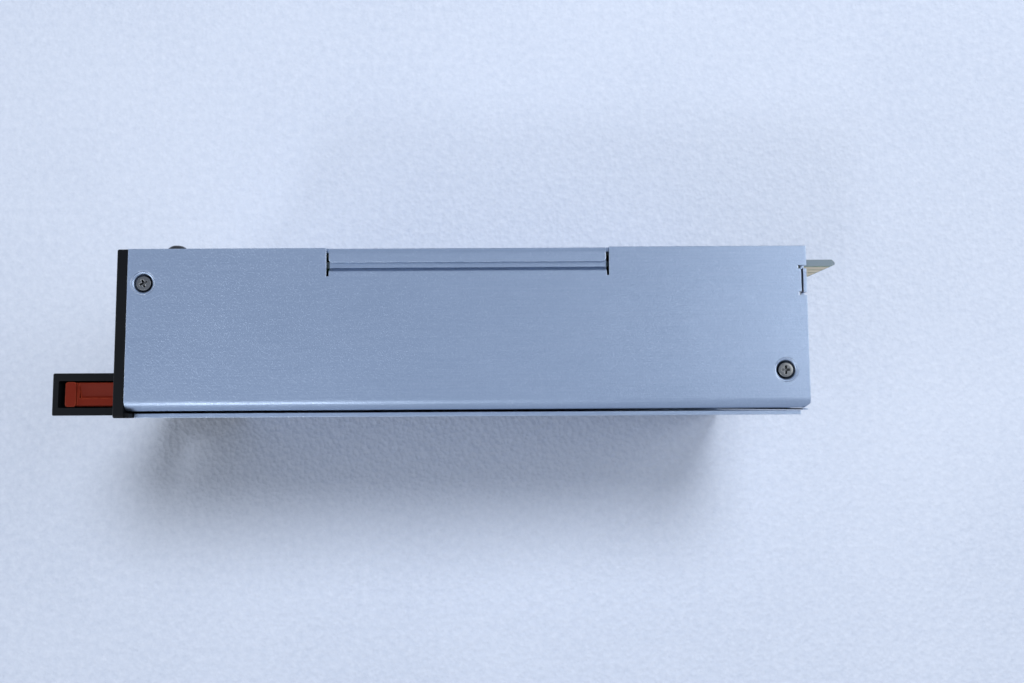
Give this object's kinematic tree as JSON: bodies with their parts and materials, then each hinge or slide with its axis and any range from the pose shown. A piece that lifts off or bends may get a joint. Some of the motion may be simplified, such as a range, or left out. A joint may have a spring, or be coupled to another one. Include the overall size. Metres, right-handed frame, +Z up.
{
  "type": "hot swap server power supply",
  "caption": "Flat box-shaped plug-in power supply in folded steel with a black pull handle, orange release bar, mains inlet, fan and a contact edge at the rear.",
  "frame": {"origin": "centre of the bounding box, at the side wall that the module lies on", "axes": "+X from the handle to the contact edge at the rear, +Y towards the bottom plate, +Z up from the wall it lies on to the removable side cover"},
  "size_m": [0.1906, 0.0424, 0.086],
  "materials": {
    "galvanised": "satin zinc-coated sheet",
    "black_plastic": "fine matt moulded",
    "orange_plastic": "satin moulded",
    "bright_screw": "zinc-plated",
    "black_screw": "black-coated steel",
    "spring_steel": "bright",
    "pin_steel": "ground",
    "fan_plastic": "glass-filled moulded",
    "magnet": "bonded ferrite",
    "bearing_steel": "polished",
    "copper": "enamelled copper wire",
    "wire_skin": "soft insulation",
    "inlet_plastic": "semi-gloss moulded",
    "nickel": "nickel-plated",
    "clear_rod": "clear moulded",
    "lamp": "diffuse lens",
    "board": "solder mask on glass laminate",
    "gold": "gold-plated",
    "brass": "turned",
    "insulator": "thin film",
    "header_plastic": "moulded",
    "fuse_body": "ceramic",
    "ferrite": "sintered",
    "film_case": "moulded case",
    "disc_coat": "dipped",
    "relay_case": "moulded",
    "epoxy": "moulded epoxy",
    "green_core": "coated powder core",
    "can_sleeve": "shrunk sleeve",
    "aluminium": "extruded",
    "tape": "polyester tape",
    "bare_copper": "tinned copper strip",
    "can": "drawn can"
  },
  "bodies": {
    "housing": {"bezel_screw": "black_screw", "board_headers": "header_plastic", "board_screws": "bright_screw", "board_standoffs": "brass", "boost_core": "green_core", "boost_winding": "copper", "bridge_rectifier": "epoxy", "bulk_capacitor": "can_sleeve", "bus_bars": "bare_copper", "chassis_shell": "galvanised", "choke_cores": "ferrite", "choke_windings": "copper", "control_board": "board", "control_chips": "epoxy", "disc_capacitors": "disc_coat", "earth_lug": "nickel", "earth_nut": "bright_screw", "fan_bearings": "bearing_steel", "fan_frame": "fan_plastic", "fan_lead": "wire_skin", "fan_screws": "black_screw", "fan_stator": "copper", "film_capacitors": "film_case", "front_bezel": "black_plastic", "gold_fingers": "gold", "inlet_blades": "nickel", "inlet_body": "inlet_plastic", "inlet_wires": "wire_skin", "inrush_relay": "relay_case", "insulator_sheet": "insulator", "latch_pin": "pin_steel", "latch_spring": "spring_steel", "light_pipe": "clear_rod", "line_fuse": "fuse_body", "main_board": "board", "output_capacitors": "can", "output_choke": "ferrite", "output_rectifiers": "epoxy", "output_sink": "aluminium", "power_transistors": "epoxy", "primary_sink": "aluminium", "pull_handle": "black_plastic", "rear_panel": "galvanised", "resonant_parts": "ferrite", "side_cover": "galvanised", "standby_transformer": "tape", "status_lamp": "lamp", "transformer_core": "ferrite", "transformer_winding": "tape", "wall_screws": "bright_screw"},
    "release": {"release_bar": "orange_plastic", "release_link": "spring_steel", "link_rivet": "pin_steel"},
    "catch": {"latch_hook": "spring_steel"},
    "rotor": {"fan_rotor": "fan_plastic", "fan_magnet": "magnet", "fan_shaft": "pin_steel"}
  },
  "joints": [
    {"name": "release_slide", "type": "slide", "parent": "housing", "child": "release", "axis": [-1, 0, 0], "range_m": [0, 0.0013], "stiffness_N_per_m": 2500, "springref_m": -0.0012, "deforming": ["latch_spring"]},
    {"name": "catch_turn", "type": "hinge", "parent": "housing", "child": "catch", "pos_m": [-0.0669, 0.01405, 0.009], "axis": [0, 0, -1], "range_deg": [0, 10]},
    {"name": "fan_spin", "type": "hinge", "parent": "housing", "child": "rotor", "pos_m": [-0.0599, -0.00035, 0.0358], "axis": [1, 0, 0], "continuous": true}
  ],
  "couplings": [
    {"joint": "catch_turn", "follows": "release_slide", "rad_per_m": 133.33}
  ]
}
